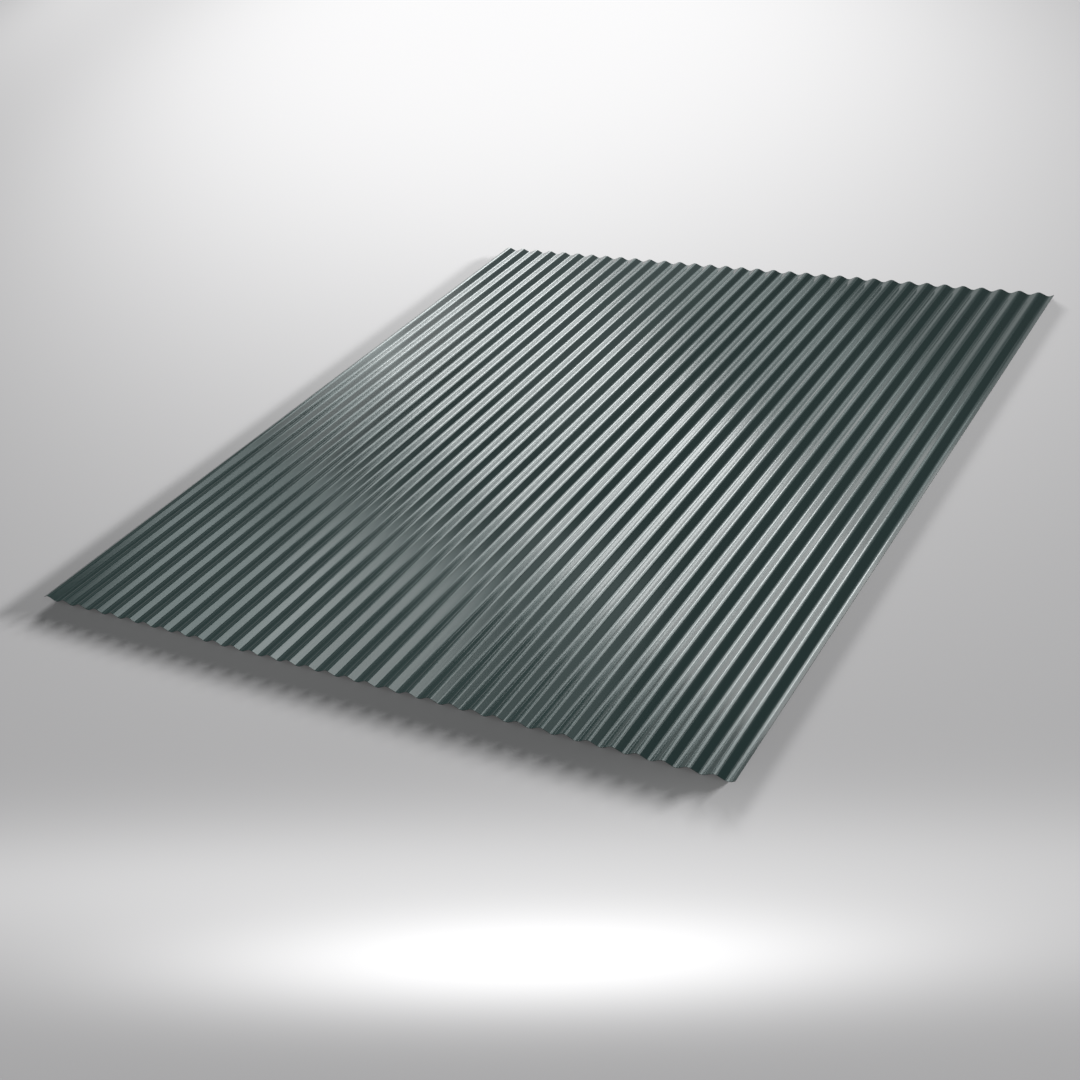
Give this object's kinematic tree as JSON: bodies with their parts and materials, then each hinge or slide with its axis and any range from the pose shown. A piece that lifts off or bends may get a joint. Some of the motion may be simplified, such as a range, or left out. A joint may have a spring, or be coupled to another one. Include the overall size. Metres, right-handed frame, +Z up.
{
  "type": "corrugated metal sheet",
  "caption": "Flat rectangular steel cladding sheet, cold-rolled into small round waves, painted dark grey-green, with one side edge turned down and the other turned up.",
  "frame": {"origin": "under the middle of the sheet's footprint, on the level that its valleys rest on", "axes": "+X across the waves, from the turned-down side edge to the turned-up one; +Y along the ridges; +Z up, out of the painted face"},
  "size_m": [1.0892, 1.29, 0.006],
  "materials": {
    "coated_steel": "semi-gloss coil coating, dark grey-green"
  },
  "bodies": {
    "root": {"corrugated_sheet": "coated_steel"}
  },
  "joints": []
}
